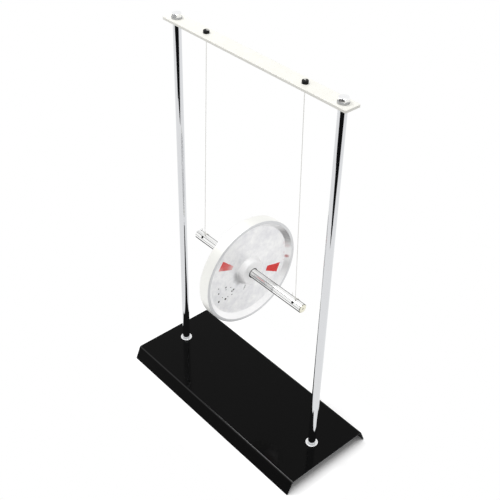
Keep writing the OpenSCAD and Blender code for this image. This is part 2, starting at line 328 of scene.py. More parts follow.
def coilPath(start, along, radius, turns, length, across):
    other = along.cross(across)
    count = turns * knot["stepsPerTurn"]
    path = []
    for i in range(count + 1):
        a = math.tau * turns * i / count
        aside = math.cos(a) * across + math.sin(a) * other
        path.append(start + along * length * i / count + radius * aside)
    return path


def tieKnot(side):
    low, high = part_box(side + "_knot")
    half = thread["diameter"] / 2
    start = Vector((sides[side] * sling["holeX"], 0, low.z + half))
    bm = bmesh.new()
    sweepThread(bm, coilPath(start, Vector((0, 0, 1)), knot["coilRadius"], knot["turns"],
                             high.z - low.z - 2 * half, Vector((0, 1, 0))))
    sweepThread(bm, [start + Vector(p) * mm for p in knot["tail"]])
    bmesh.ops.recalc_face_normals(bm, faces=bm.faces)
    makePiece(side + "Knot", bm, "knots", threadMaterial, [side + "_knot"])


def tieStopper(side):
    turn = math.radians(stopper["slotAngle"][side])
    outwards = Vector((math.cos(turn), math.sin(turn), 0))
    up = Vector((0, 0, 1))
    foot = Vector((sides[side] * stringRoute["topX"], 0, stringRoute["topZ"] + stopper["inside"]))
    bend, level = stopper["bend"], stopper["leadZ"]
    half = thread["diameter"] / 2
    bendSteps, riseSteps = stopper["bendSteps"], stopper["riseSteps"]
    rise = [foot + up * (level - bend - foot.z) * i / riseSteps for i in range(riseSteps + 1)]
    bendStart = Vector((foot.x, 0, level - bend))
    over = []
    for i in range(1, bendSteps + 1):
        a = math.pi / 2 * i / bendSteps
        over.append(bendStart + up * bend * math.sin(a) + outwards * bend * (1 - math.cos(a)))
    coilStart = Vector((foot.x, 0, level)) + outwards * (stopper["headRadius"] - stopper["coilLength"])
    bm = bmesh.new()
    sweepThread(bm, rise + over + [coilStart])
    sweepThread(bm, coilPath(coilStart, outwards, stopper["coilRadius"], stopper["turns"],
                             stopper["coilLength"] - half, up))
    bmesh.ops.recalc_face_normals(bm, faces=bm.faces)
    makePiece(side + "StopperKnot", bm, "stand", threadMaterial, [side + "_stopper_knot"])


for side in sides:
    tieKnot(side)
    tieStopper(side)
print("knots tied")


# Bright chrome plate: a hard mirror, sharp all along, with faint wiping haze
def chromePlate():
    material, tree, shader = newMaterial("brightChromePlate", {
        "Metallic": 1.0, "Base Color": linear("#D0D1D3")})
    place = addNode(tree, "ShaderNodeTexCoord")
    haze = addNode(tree, "ShaderNodeTexNoise", {"Scale": 1 / (14 * mm), "Detail": 4.0, "Roughness": 0.65},
                   {"Vector": place.outputs["Object"]})  # wiping marks of about 14 mm
    rough = addNode(tree, "ShaderNodeMapRange",
                    {"From Min": 0.35, "From Max": 0.75, "To Min": 0.03, "To Max": 0.09},
                    {"Value": haze.outputs["Fac"]})
    tree.links.new(rough.outputs["Result"], shader.inputs["Roughness"])
    return material


# Zinc plate on small steel parts: softly bright and finely frosted, pale on turned parts; the washers get a
# grey copy of it, painted shade for the dark contact lines round them
zincFinish = {
    "brightZincPlate": {"low": "#E8E9EA", "high": "#F8F8F8", "roughness": (0.2, 0.28)},
    # a darker copy of the same zinc, painted shade on the washers
    "shadedZincPlate": {"low": "#A0A1A3", "high": "#B8B9BA", "roughness": (0.18, 0.26)},
}


def zincPlate(name):
    finish = zincFinish[name]
    material, tree, shader = newMaterial(name, {"Metallic": 1.0})
    place = addNode(tree, "ShaderNodeTexCoord")
    frost = addNode(tree, "ShaderNodeTexNoise", {"Scale": 1 / (1.2 * mm), "Detail": 4.0, "Roughness": 0.6},
                    {"Vector": place.outputs["Object"]})  # frosting of about 1.2 mm
    tone = addNode(tree, "ShaderNodeValToRGB", links={"Fac": frost.outputs["Fac"]})
    tone.color_ramp.elements[0].color = linear(finish["low"])
    tone.color_ramp.elements[1].color = linear(finish["high"])
    smooth, dull = finish["roughness"]
    rough = addNode(tree, "ShaderNodeMapRange",
                    {"From Min": 0.3, "From Max": 0.7, "To Min": smooth, "To Max": dull},
                    {"Value": frost.outputs["Fac"]})
    tree.links.new(tone.outputs["Color"], shader.inputs["Base Color"])
    tree.links.new(rough.outputs["Result"], shader.inputs["Roughness"])
    return material


# Stoved black enamel on sheet steel: deep black gloss with fine orange peel, a little dust and brighter bends
enamelFinish = {
    "bendFrom": 57.7 * mm,       # the bends, from the middle of the base and from the table up
    "bendLow": 16.9 * mm,
    "blur": 0.2 * mm,            # over which the gloss changes
    "gloss": (0.085, 0.7),       # coat on the flat top and on the bends, none on the flanges
}


def blackEnamel():
    bendFrom, bendLow, blur = enamelFinish["bendFrom"], enamelFinish["bendLow"], enamelFinish["blur"]
    flatGloss, bendGloss = enamelFinish["gloss"]
    material, tree, shader = newMaterial("stovedBlackEnamel", {
        "IOR": 1.5, "Specular IOR Level": 0.036, "Coat Roughness": 0.1})
    place = addNode(tree, "ShaderNodeTexCoord")
    spot = addNode(tree, "ShaderNodeSeparateXYZ", links={"Vector": place.outputs["Object"]})
    fromMiddle = addNode(tree, "ShaderNodeMath", links={0: spot.outputs["Y"]}, operation="ABSOLUTE")
    atBend = addNode(tree, "ShaderNodeMapRange",
                     {"From Min": bendFrom - blur, "From Max": bendFrom + blur,
                      "To Min": flatGloss, "To Max": bendGloss},
                     {"Value": fromMiddle.outputs["Value"]})
    gloss = addNode(tree, "ShaderNodeMapRange", {"From Min": bendLow - blur, "From Max": bendLow + blur},
                    {"Value": spot.outputs["Z"], "To Max": atBend.outputs["Result"]})
    peel = addNode(tree, "ShaderNodeTexNoise", {"Scale": 1 / (2.5 * mm), "Detail": 2.0, "Roughness": 0.5},
                   {"Vector": place.outputs["Object"]})  # orange peel of about 2.5 mm
    dust = addNode(tree, "ShaderNodeTexNoise", {"Scale": 1 / (3.5 * mm), "Detail": 6.0, "Roughness": 0.75},
                   {"Vector": place.outputs["Object"]})  # dust lies in patches of about 3.5 mm
    tone = addNode(tree, "ShaderNodeValToRGB", links={"Fac": dust.outputs["Fac"]})
    tone.color_ramp.elements[0].position, tone.color_ramp.elements[0].color = 0.55, linear("#010101")
    tone.color_ramp.elements[1].position, tone.color_ramp.elements[1].color = 0.85, linear("#0B0B0C")
    rough = addNode(tree, "ShaderNodeMapRange",
                    {"From Min": 0.4, "From Max": 0.8, "To Min": 0.08, "To Max": 0.16},
                    {"Value": dust.outputs["Fac"]})
    bump = addNode(tree, "ShaderNodeBump", {"Strength": 0.12, "Distance": 0.05 * mm},
                   {"Height": peel.outputs["Fac"]})
    tree.links.new(tone.outputs["Color"], shader.inputs["Base Color"])
    tree.links.new(gloss.outputs["Result"], shader.inputs["Coat Weight"])
    tree.links.new(rough.outputs["Result"], shader.inputs["Roughness"])
    tree.links.new(bump.outputs["Normal"], shader.inputs["Normal"])
    return material


# Ivory paint on the flat bar: smooth semi-gloss, warm white, in a slightly uneven coat
def ivoryPaint():
    material, tree, shader = newMaterial("semiGlossIvoryPaint", {"IOR": 1.48})
    place = addNode(tree, "ShaderNodeTexCoord")
    cloud = addNode(tree, "ShaderNodeTexNoise", {"Scale": 1 / (9 * mm), "Detail": 5.0, "Roughness": 0.6},
                    {"Vector": place.outputs["Object"]})  # thin and full coats in patches of about 9 mm
    tone = addNode(tree, "ShaderNodeValToRGB", links={"Fac": cloud.outputs["Fac"]})
    tone.color_ramp.elements[0].color = linear("#E4E3DC")
    tone.color_ramp.elements[1].color = linear("#F1F0EA")
    rough = addNode(tree, "ShaderNodeMapRange",
                    {"From Min": 0.3, "From Max": 0.7, "To Min": 0.3, "To Max": 0.42},
                    {"Value": cloud.outputs["Fac"]})
    peel = addNode(tree, "ShaderNodeTexNoise", {"Scale": 1 / (1.5 * mm), "Detail": 2.0},
                   {"Vector": place.outputs["Object"]})  # orange peel of about 1.5 mm
    bump = addNode(tree, "ShaderNodeBump", {"Strength": 0.15, "Distance": 0.04 * mm},
                   {"Height": peel.outputs["Fac"]})
    tree.links.new(tone.outputs["Color"], shader.inputs["Base Color"])
    tree.links.new(rough.outputs["Result"], shader.inputs["Roughness"])
    tree.links.new(bump.outputs["Normal"], shader.inputs["Normal"])
    return material


# Moulded black nylon: dull black with a faint sheen on its round edges
def blackNylon():
    material, tree, shader = newMaterial("mouldedBlackNylon", {"IOR": 1.53, "Specular IOR Level": 0.12})
    place = addNode(tree, "ShaderNodeTexCoord")
    grain = addNode(tree, "ShaderNodeTexNoise", {"Scale": 1 / (0.5 * mm), "Detail": 3.0},
                    {"Vector": place.outputs["Object"]})  # mould grain of about 0.5 mm
    tone = addNode(tree, "ShaderNodeValToRGB", links={"Fac": grain.outputs["Fac"]})
    tone.color_ramp.elements[0].color = linear("#0B0B0B")
    tone.color_ramp.elements[1].color = linear("#171717")
    rough = addNode(tree, "ShaderNodeMapRange", {"To Min": 0.38, "To Max": 0.55},
                    {"Value": grain.outputs["Fac"]})
    tree.links.new(tone.outputs["Color"], shader.inputs["Base Color"])
    tree.links.new(rough.outputs["Result"], shader.inputs["Roughness"])
    return material


# Bright drawn steel rod: a slightly hazy mirror with dark lines along it that are painted reflections, cross
# holes painted black as shade, and a painted shaded ring round each sawn end
rodFinish = {
    # painted reflections: dark lines along the rod, fixed where it mirrors darker surroundings; degrees from
    # +Y towards +Z, width mm
    "lines": [(18, 0.6), (57, 1.7), (127, 0.5), (163, 0.5), (204, 3.5), (252, 0.6), (295, 0.9), (335, 0.5)],
    "lineEdge": 0.1 * mm,
    "mouth": 1.6 * mm,           # painted shade: black this far from the axis of a cross hole, inside it and on its edge
    "mouthBlur": 0.1 * mm,
    "chamfer": 0.6 * mm,         # painted shade: a darker ring round a sawn end, over its chamfer
    "endSkin": 0.02 * mm,        # depth that counts as the sawn face
}


def drawnSteel():
    material, tree, shader = newMaterial("brightDrawnSteel", {"Metallic": 1.0})
    place = addNode(tree, "ShaderNodeTexCoord")
    mouth, mouthBlur = rodFinish["mouth"], rodFinish["mouthBlur"]
    along = addNode(tree, "ShaderNodeMapping", {"Scale": (0.012, 1, 1)}, {"Vector": place.outputs["Object"]})
    grain = addNode(tree, "ShaderNodeTexNoise", {"Scale": 1 / (0.8 * mm), "Detail": 2.0, "Roughness": 0.5},
                    {"Vector": along.outputs["Vector"]})  # drawn grain, coarse enough to show
    tone = addNode(tree, "ShaderNodeValToRGB", links={"Fac": grain.outputs["Fac"]})
    tone.color_ramp.elements[0].position, tone.color_ramp.elements[0].color = 0.3, linear("#D9DADA")
    tone.color_ramp.elements[1].position, tone.color_ramp.elements[1].color = 0.5, linear("#F6F6F5")
    across = addNode(tree, "ShaderNodeMapping", {"Location": (0, 0, -axleZ), "Scale": (0, 1, 1)},
                     {"Vector": place.outputs["Object"]})
    # painted reflections of darker surroundings, as dark lines along the rod
    lines = [(onDisc(axleRadius, angle), width * mm) for angle, width in rodFinish["lines"]]
    line = addNode(tree, "ShaderNodeMapRange",
                   {"From Min": rodFinish["lineEdge"], "From Max": -rodFinish["lineEdge"], "To Max": 0.9},
                   {"Value": nearestSpot(tree, across.outputs["Vector"], lines)})
    lined = addNode(tree, "ShaderNodeMixRGB", {"Color2": linear("#202122")},
                    {"Fac": line.outputs["Result"], "Color1": tone.outputs["Color"]})
    length = addNode(tree, "ShaderNodeSeparateXYZ", links={"Vector": place.outputs["Object"]})
    fromMiddle = addNode(tree, "ShaderNodeMath", links={0: length.outputs["X"]}, operation="ABSOLUTE")
    fromHole = addNode(tree, "ShaderNodeMath", {1: sling["holeX"]}, {0: fromMiddle.outputs["Value"]},
                       operation="SUBTRACT")
    face = addNode(tree, "ShaderNodeSeparateXYZ", links={"Vector": across.outputs["Vector"]})
    spot = addNode(tree, "ShaderNodeCombineXYZ", links={
        "X": fromHole.outputs["Value"], "Y": face.outputs["Y"], "Z": face.outputs["Z"]})
    aside = addNode(tree, "ShaderNodeVectorMath", {1: onDisc(1, sling["holeAngle"])},
                    {0: spot.outputs["Vector"]}, operation="CROSS_PRODUCT")
    fromAxis = addNode(tree, "ShaderNodeVectorMath", links={0: aside.outputs["Vector"]}, operation="LENGTH")
    # painted shade: the cross hole and its edge black
    hole = addNode(tree, "ShaderNodeMapRange", {"From Min": mouth + mouthBlur, "From Max": mouth - mouthBlur},
                   {"Value": fromAxis.outputs["Value"]})
    holed = addNode(tree, "ShaderNodeMixRGB", {"Color2": linear("#050505")},
                    {"Fac": hole.outputs["Result"], "Color1": lined.outputs["Color"]})
    # painted shade: a darker ring round each sawn end
    ringed = addNode(tree, "ShaderNodeMath", {1: axleHigh.x - rodFinish["chamfer"]},
                     {0: fromMiddle.outputs["Value"]}, operation="GREATER_THAN")
    edged = addNode(tree, "ShaderNodeMixRGB", {"Color2": linear("#8C8B86")},
                    {"Fac": ringed.outputs["Value"], "Color1": holed.outputs["Color"]})
    ended = addNode(tree, "ShaderNodeMath", {1: axleHigh.x - rodFinish["endSkin"]},
                    {0: fromMiddle.outputs["Value"]}, operation="GREATER_THAN")
    colour = addNode(tree, "ShaderNodeMixRGB", {"Color2": linear("#ECEADB")},  # sawn and a little yellowed
                     {"Fac": ended.outputs["Value"], "Color1": edged.outputs["Color"]})
    drawn = addNode(tree, "ShaderNodeMapRange",
                    {"From Min": 0.3, "From Max": 0.7, "To Min": 0.05, "To Max": 0.12},
                    {"Value": grain.outputs["Fac"]})
    rough = addNode(tree, "ShaderNodeMapRange", {"To Max": 0.45},
                    {"Value": ended.outputs["Value"], "To Min": drawn.outputs["Result"]})
    tree.links.new(colour.outputs["Color"], shader.inputs["Base Color"])
    # the same colour, with its painted reflection lines and painted shade, also dims the rod's reflection at
    # grazing angles
    tree.links.new(colour.outputs["Color"], shader.inputs["Specular Tint"])
    tree.links.new(rough.outputs["Result"], shader.inputs["Roughness"])
    return material


# Cast aluminium: a mottled, softly shining web with small black gas pits, and a turned, brighter rim
wheelFinish = {
    "webFrom": 18.5 * mm,
    "webTo": 57.5 * mm,
    "webBlur": 0.6 * mm,
    "mottle": 5 * mm,
    "cloud": 24 * mm,            # broad, faint changes of tone over the web
    "faceFrom": 62.6 * mm,       # flat face of the rim, greyer than the slope and the tread
    "faceTo": 66.4 * mm,
    "treadFrom": 65.9 * mm,
    "cornerFrom": 7 * mm,        # the tread's edges, from the middle of the wheel, painted grey as shade where the rounded corners mirror darker things
    "pitEdge": 0.25 * mm,
    "pitStray": 1.2 * mm,        # how ragged the pits' outlines are
    # gas pits on the front of the web: radius mm, degrees from +Y towards +Z, width mm
    "pits": [(36.1, -168, 2.2), (29.0, -145, 2.1), (31.7, -146, 2.1), (43.5, -146, 2.8), (51.6, -153, 2.8),
             (47.7, -166, 2.0), (46.3, -175, 1.5), (30.2, -158, 1.4), (45.2, -154, 1.4), (34.7, -139, 1.4),
             (39.4, -145, 1.2), (36.8, -163, 1.2)],
    "boreTo": 6.3 * mm,          # a dark ring round the axle, over the bore's chamfer
    "boreBlur": 0.1 * mm,
    # red paint traces, a painted shadow beside the hub and a dark streak below it, all on the front, by
    # colour: radius mm, degrees, width mm, strength
    "stainsAndPaintedShade": {
        "#B0282A": [(59.0, -7, 3.6, 0.75), (59.0, 8, 4.5, 0.18), (55.5, -1, 1.8, 0.3), (57.5, 14, 5.0, 0.12),
                    (56.0, -12, 1.6, 0.3)],
        # painted shadow of the hub, on the web to its left and lower left
        "#5A5A5C": [(20.6, 173, 7.0, 0.3), (19.6, 190, 8.0, 0.45), (18.6, 211, 7.0, 0.45)],
        # a dark streak below the hub
        "#4A4A4B": [(21.2, -106, 2.0, 0.6), (23.4, -107, 2.0, 0.65), (25.6, -108, 1.6, 0.5)],
    },
}


def castAluminium():
    webFrom, webTo, webBlur = wheelFinish["webFrom"], wheelFinish["webTo"], wheelFinish["webBlur"]
    boreTo, boreBlur, stray = wheelFinish["boreTo"], wheelFinish["boreBlur"], wheelFinish["pitStray"]
    material, tree, shader = newMaterial("castAluminium", {})
    place = addNode(tree, "ShaderNodeTexCoord")
    flat = addNode(tree, "ShaderNodeMapping", {"Location": (0, 0, -axleZ), "Scale": (0, 1, 1)},
                   {"Vector": place.outputs["Object"]})
    radius = addNode(tree, "ShaderNodeVectorMath", links={0: flat.outputs["Vector"]}, operation="LENGTH")
    withinRim = addNode(tree, "ShaderNodeMapRange",
                        {"From Min": webTo + webBlur, "From Max": webTo - webBlur},
                        {"Value": radius.outputs["Value"]})
    pastHub = addNode(tree, "ShaderNodeMapRange",
                      {"From Min": webFrom - webBlur, "From Max": webFrom + webBlur},
                      {"Value": radius.outputs["Value"]})
    inWeb = addNode(tree, "ShaderNodeMath", operation="MULTIPLY",
                    links={0: pastHub.outputs["Result"], 1: withinRim.outputs["Result"]})
    mottle = addNode(tree, "ShaderNodeTexNoise",
                     {"Scale": 1 / wheelFinish["mottle"], "Detail": 6.0, "Roughness": 0.62},
                     {"Vector": place.outputs["Object"]})
    tone = addNode(tree, "ShaderNodeValToRGB", links={"Fac": mottle.outputs["Fac"]})
    tone.color_ramp.elements[0].position, tone.color_ramp.elements[0].color = 0.3, linear("#EDEDEE")
    tone.color_ramp.elements[1].position, tone.color_ramp.elements[1].color = 0.7, linear("#FDFDFC")
    broad = addNode(tree, "ShaderNodeTexNoise", {"Scale": 1 / wheelFinish["cloud"], "Detail": 2.0},
                    {"Vector": place.outputs["Object"]})
    cloud = addNode(tree, "ShaderNodeValToRGB", links={"Fac": broad.outputs["Fac"]})
    cloud.color_ramp.elements[0].position, cloud.color_ramp.elements[0].color = 0.35, linear("#F4F4F6")
    cloud.color_ramp.elements[1].position, cloud.color_ramp.elements[1].color = 0.6, linear("#FFFFFF")
    clouded = addNode(tree, "ShaderNodeMixRGB", {"Fac": 1.0}, blend_type="MULTIPLY",
                      links={"Color1": tone.outputs["Color"], "Color2": cloud.outputs["Color"]})
    outwards = addNode(tree, "ShaderNodeMapRange",
                       {"From Min": wheelFinish["faceFrom"], "From Max": wheelFinish["faceTo"]},
                       {"Value": radius.outputs["Value"]})
    rings = addNode(tree, "ShaderNodeValToRGB", links={"Fac": outwards.outputs["Result"]})
    rings.color_ramp.elements[0].color = linear("#FFFFFF")
    rings.color_ramp.elements[1].color = linear("#F1F1ED")
    for stop in (0.12, 0.92):
        rings.color_ramp.elements.new(stop).color = linear("#D3D4D5")
    across = addNode(tree, "ShaderNodeSeparateXYZ", links={"Vector": place.outputs["Object"]})
    fromMiddle = addNode(tree, "ShaderNodeMath", links={0: across.outputs["X"]}, operation="ABSOLUTE")
    atSide = addNode(tree, "ShaderNodeMath", {1: wheelFinish["cornerFrom"]}, {0: fromMiddle.outputs["Value"]},
                     operation="GREATER_THAN")
    atTread = addNode(tree, "ShaderNodeMath", {1: wheelFinish["treadFrom"]}, {0: radius.outputs["Value"]},
                      operation="GREATER_THAN")
    corner = addNode(tree, "ShaderNodeMath", links={0: atSide.outputs["Value"], 1: atTread.outputs["Value"]},
                     operation="MULTIPLY")
    # painted shade: a grey line along both edges of the tread
    paintedEdgeShade = addNode(tree, "ShaderNodeMixRGB", {"Color2": linear("#D6D7D8")},
                   {"Fac": corner.outputs["Value"], "Color1": rings.outputs["Color"]})
    turned = addNode(tree, "ShaderNodeMixRGB", links={
        "Fac": inWeb.outputs["Value"], "Color1": paintedEdgeShade.outputs["Color"], "Color2": clouded.outputs["Color"]})
    wander = addNode(tree, "ShaderNodeTexNoise", {"Scale": 1 / (1.6 * mm), "Detail": 2.0},
                     {"Vector": flat.outputs["Vector"]})  # ragged pit outlines
    ragged = addNode(tree, "ShaderNodeVectorMath", {1: (stray, stray, stray)}, {0: wander.outputs["Color"]},
                     operation="MULTIPLY")
    shifted = addNode(tree, "ShaderNodeVectorMath", {1: (0, -stray / 2, -stray / 2)},
                      {0: ragged.outputs["Vector"]})
    spot = addNode(tree, "ShaderNodeVectorMath", links={
        0: flat.outputs["Vector"], 1: shifted.outputs["Vector"]})
    onPlane = addNode(tree, "ShaderNodeVectorMath", {1: (0, 1, 1)}, {0: spot.outputs["Vector"]},
                      operation="MULTIPLY")
    pits = [(onDisc(out * mm, angle), width * mm) for out, angle, width in wheelFinish["pits"]]
    depth = addNode(tree, "ShaderNodeMapRange",
                    {"From Min": wheelFinish["pitEdge"], "From Max": -wheelFinish["pitEdge"]},
                    {"Value": nearestSpot(tree, onPlane.outputs["Vector"], pits)})
    front = addNode(tree, "ShaderNodeMath", {1: 0.0}, {0: across.outputs["X"]}, operation="GREATER_THAN")
    pit = addNode(tree, "ShaderNodeMath", links={0: depth.outputs["Result"], 1: front.outputs["Value"]},
                  operation="MULTIPLY")
    colour = addNode(tree, "ShaderNodeMixRGB", {"Color2": linear("#070606")},
                     {"Fac": pit.outputs["Value"], "Color1": turned.outputs["Color"]})
    # red paint traces, and the painted shadow and dark streak by the hub, each laid on as a soft spot
    stainsAndPaintedShade = [(tint, *stain) for tint, found in wheelFinish["stainsAndPaintedShade"].items() for stain in found]
    for tint, out, angle, width, strength in stainsAndPaintedShade:
        away = addNode(tree, "ShaderNodeVectorMath", {1: onDisc(out * mm, angle)},
                       {0: onPlane.outputs["Vector"]}, operation="DISTANCE")
        smear = addNode(tree, "ShaderNodeMapRange",
                        {"From Min": 0.8 * width * mm, "From Max": 0.2 * width * mm, "To Max": strength},
                        {"Value": away.outputs["Value"]})
        share = addNode(tree, "ShaderNodeMath", links={0: smear.outputs["Result"], 1: front.outputs["Value"]},
                        operation="MULTIPLY")
        colour = addNode(tree, "ShaderNodeMixRGB", {"Color2": linear(tint)},
                         {"Fac": share.outputs["Value"], "Color1": colour.outputs["Color"]})
    bore = addNode(tree, "ShaderNodeMapRange",
                   {"From Min": boreTo + boreBlur, "From Max": boreTo - boreBlur, "To Max": 0.8},
                   {"Value": radius.outputs["Value"]})
    colour = addNode(tree, "ShaderNodeMixRGB", {"Color2": linear("#1A1918")},
                     {"Fac": bore.outputs["Result"], "Color1": colour.outputs["Color"]})
    cast = addNode(tree, "ShaderNodeMapRange", {"To Min": 0.38, "To Max": 0.5},
                   {"Value": inWeb.outputs["Value"]})
    rough = addNode(tree, "ShaderNodeMapRange", {"To Min": 0.62},
                    {"Value": pastHub.outputs["Result"], "To Max": cast.outputs["Result"]})
    metal = addNode(tree, "ShaderNodeMapRange", {"To Min": 0.5, "To Max": 0.85},
                    {"Value": pastHub.outputs["Result"]})
    sand = addNode(tree, "ShaderNodeTexNoise", {"Scale": 1 / (1.4 * mm), "Detail": 4.0, "Roughness": 0.6},
                   {"Vector": place.outputs["Object"]})  # cast skin, drawn at 1.4 mm so that it shows
    grit = addNode(tree, "ShaderNodeMath", links={0: sand.outputs["Fac"], 1: inWeb.outputs["Value"]},
                   operation="MULTIPLY")
    height = addNode(tree, "ShaderNodeMath", links={0: grit.outputs["Value"], 1: pit.outputs["Value"]},
                     operation="SUBTRACT")
    bump = addNode(tree, "ShaderNodeBump", {"Strength": 0.35, "Distance": 0.15 * mm},
                   {"Height": height.outputs["Value"]})
    tree.links.new(colour.outputs["Color"], shader.inputs["Base Color"])
    tree.links.new(metal.outputs["Result"], shader.inputs["Metallic"])
    tree.links.new(rough.outputs["Result"], shader.inputs["Roughness"])
    tree.links.new(bump.outputs["Normal"], shader.inputs["Normal"])
    return material


# Brushed red enamel: full red, streaked by the brush, so thin at the left mark's ends that metal shows
redFinish = {
    # thin places: radius mm, degrees from +Y towards +Z, reach mm, strength
    "thin": [(30.5, 148, 9.0, 0.75), (50.0, 156, 7.0, 0.6), (40.0, 148, 17.0, 0.2)],
}


def redPaint():
    material, tree, shader = newMaterial("brushedRedEnamel", {
        "IOR": 1.5, "Specular IOR Level": 0.25, "Roughness": 0.38})
    place = addNode(tree, "ShaderNodeTexCoord")
    brush = addNode(tree, "ShaderNodeMapping", {"Scale": (1, 0.25, 1)}, {"Vector": place.outputs["Object"]})
    streak = addNode(tree, "ShaderNodeTexNoise", {"Scale": 1 / (1.3 * mm), "Detail": 4.0, "Roughness": 0.6},
                     {"Vector": brush.outputs["Vector"]})  # bristle streaks, at 1.3 mm so that they show
    tone = addNode(tree, "ShaderNodeValToRGB", links={"Fac": streak.outputs["Fac"]})
    tone.color_ramp.elements[0].position, tone.color_ramp.elements[0].color = 0.3, linear("#EB2A2B")
    tone.color_ramp.elements[1].position, tone.color_ramp.elements[1].color = 0.7, linear("#FD443F")
    flat = addNode(tree, "ShaderNodeMapping", {"Location": (0, 0, -axleZ), "Scale": (0, 1, 1)},
                   {"Vector": place.outputs["Object"]})
    colour = tone
    for out, angle, reach, strength in redFinish["thin"]:
        away = addNode(tree, "ShaderNodeVectorMath", {1: onDisc(out * mm, angle)},
                       {0: flat.outputs["Vector"]}, operation="DISTANCE")
        thin = addNode(tree, "ShaderNodeMapRange",
                       {"From Max": reach * mm, "To Min": strength, "To Max": 0.0},
                       {"Value": away.outputs["Value"]})
        colour = addNode(tree, "ShaderNodeMixRGB", {"Color2": linear("#FFEFED")},
                         {"Fac": thin.outputs["Result"], "Color1": colour.outputs["Color"]})
    bump = addNode(tree, "ShaderNodeBump", {"Strength": 0.3, "Distance": 0.05 * mm},
                   {"Height": streak.outputs["Fac"]})
    tree.links.new(colour.outputs["Color"], shader.inputs["Base Color"])
    tree.links.new(bump.outputs["Normal"], shader.inputs["Normal"])
    return material


chrome, enamel = chromePlate(), blackEnamel()
zinc, shadedZinc = zincPlate("brightZincPlate"), zincPlate("shadedZincPlate")
ivory, nylon, steel = ivoryPaint(), blackNylon(), drawnSteel()
aluminium, red = castAluminium(), redPaint()
print("materials made")


# Solids that keep their CAD shape, each with its finish
finishes = {"wheel_disc": aluminium, "axle": steel}
for side in sides:
    finishes[side + "_post"] = chrome
    finishes[side + "_foot_collar"] = zinc
    finishes[side + "_bolt"] = zinc
    finishes[side + "_bolt_washer"] = shadedZinc
    finishes[side + "_foot_nut"] = zinc
    finishes[side + "_screw_nut"] = zinc
    finishes[side + "_string_screw"] = nylon
for name, material in finishes.items():
    nodes[name].data.materials.clear()
    nodes[name].data.materials.append(material)


# Hard-edged solids get edges softened as by tumbling, plating or paint
edgeWork = {
    "merge": 0.001 * mm,     # joins the solid's loose triangles
    "flat": 0.5,             # degrees up to which they make one face
    "sharp": 40,             # degrees past which an edge is softened
    "segments": 2,
    "crease": 50,            # degrees past which the shading breaks
}
softEdges = {
    "base_plate": (0.3 * mm, enamel, "black_enamel"),
    "top_bar": (0.4 * mm, ivory, "ivory_paint"),
}
for side in sides:
    softEdges[side + "_foot_washer"] = (0.25 * mm, shadedZinc, "zinc_plate")


def softenEdges(name, width, material):
    bm = bmesh.new()
    bm.from_mesh(nodes[name].data)
    bmesh.ops.remove_doubles(bm, verts=bm.verts, dist=edgeWork["merge"])
    bmesh.ops.dissolve_limit(bm, angle_limit=math.radians(edgeWork["flat"]), verts=bm.verts, edges=bm.edges)
    least = math.radians(edgeWork["sharp"])
    sharp = [e for e in bm.edges if len(e.link_faces) == 2 and e.calc_face_angle() > least]
    bmesh.ops.bevel(bm, geom=sharp, offset=width, affect="EDGES", segments=edgeWork["segments"], profile=0.5,
                    material=-1, clamp_overlap=False)
    low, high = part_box(name)
    for vertex in bm.verts:  # nothing stands out past the solid
        vertex.co = [min(max(c, a), b) for c, a, b in zip(vertex.co, low, high)]
    words = name.split("_")
    pieceName = words[0] + "".join(word.capitalize() for word in words[1:])
    piece = makePiece(pieceName, bm, "stand", material, [name], sharpAngle=edgeWork["crease"])
    piece.modifiers.new("flatFaces", "WEIGHTED_NORMAL").keep_sharp = True


for name, (width, material, slotName) in softEdges.items():
    softenEdges(name, width, material)
print("edges softened")


# Red marks: wedges brushed on the front of the web, narrow towards the hub
redMark = {
    "innerRadius": 30 * mm,
    "length": 20.5 * mm,
    "film": 0.15 * mm,
    "wobble": 0.35 * mm,     # how far the brushed outline strays
    "wobbleLength": 3 * mm,
    "wobbleApart": 31.4,     # lets it stray along and across by different amounts
    "grid": (28, 14),        # faces along and across
    "left": {"angle": 148, "innerWidth": 4.5 * mm, "outerWidth": 12.5 * mm},
    "right": {"angle": -22, "innerWidth": 6.5 * mm, "outerWidth": 12.5 * mm},
}


def paintMark(side):
    mark = redMark[side]
    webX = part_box(side + "_red_mark")[0].x
    bm = bmesh.new()
    along, across = redMark["grid"]
    bmesh.ops.create_grid(bm, x_segments=along, y_segments=across, size=0.5)
    for vertex in bm.verts:
        share = vertex.co.x + 0.5
        width = mark["innerWidth"] + (mark["outerWidth"] - mark["innerWidth"]) * share
        spot = Vector((share * redMark["length"], vertex.co.y * width, 0))
        drawn = spot / redMark["wobbleLength"] + Vector((0, 0, mark["angle"] + 0.5))  # each mark its own way
        apart = drawn + Vector((redMark["wobbleApart"], 0, 0))
        stray = Vector((noise.noise(drawn), noise.noise(apart), 0)) * redMark["wobble"]
        rim = max(abs(vertex.co.x), abs(vertex.co.y)) * 2      # 0 in the middle, 1 on the outline
        vertex.co = spot + stray * rim + Vector((redMark["innerRadius"], 0, 0))
    raised = bmesh.ops.extrude_face_region(bm, geom=bm.faces[:])["geom"]
    top = [g for g in raised if isinstance(g, bmesh.types.BMVert)]
    bmesh.ops.translate(bm, verts=top, vec=(0, 0, redMark["film"]))
    bmesh.ops.recalc_face_normals(bm, faces=bm.faces)
    turn = math.radians(mark["angle"])
    lie = Matrix(((0, 0, 1, webX), (math.cos(turn), -math.sin(turn), 0, 0),
                  (math.sin(turn), math.cos(turn), 0, axleZ), (0, 0, 0, 1)))
    bmesh.ops.transform(bm, matrix=lie, verts=bm.verts)
    makePiece(side + "RedMark", bm, "wheel", red, [side + "_red_mark"], sharpAngle=40)


for side in sides:
    paintMark(side)
print("marks painted")


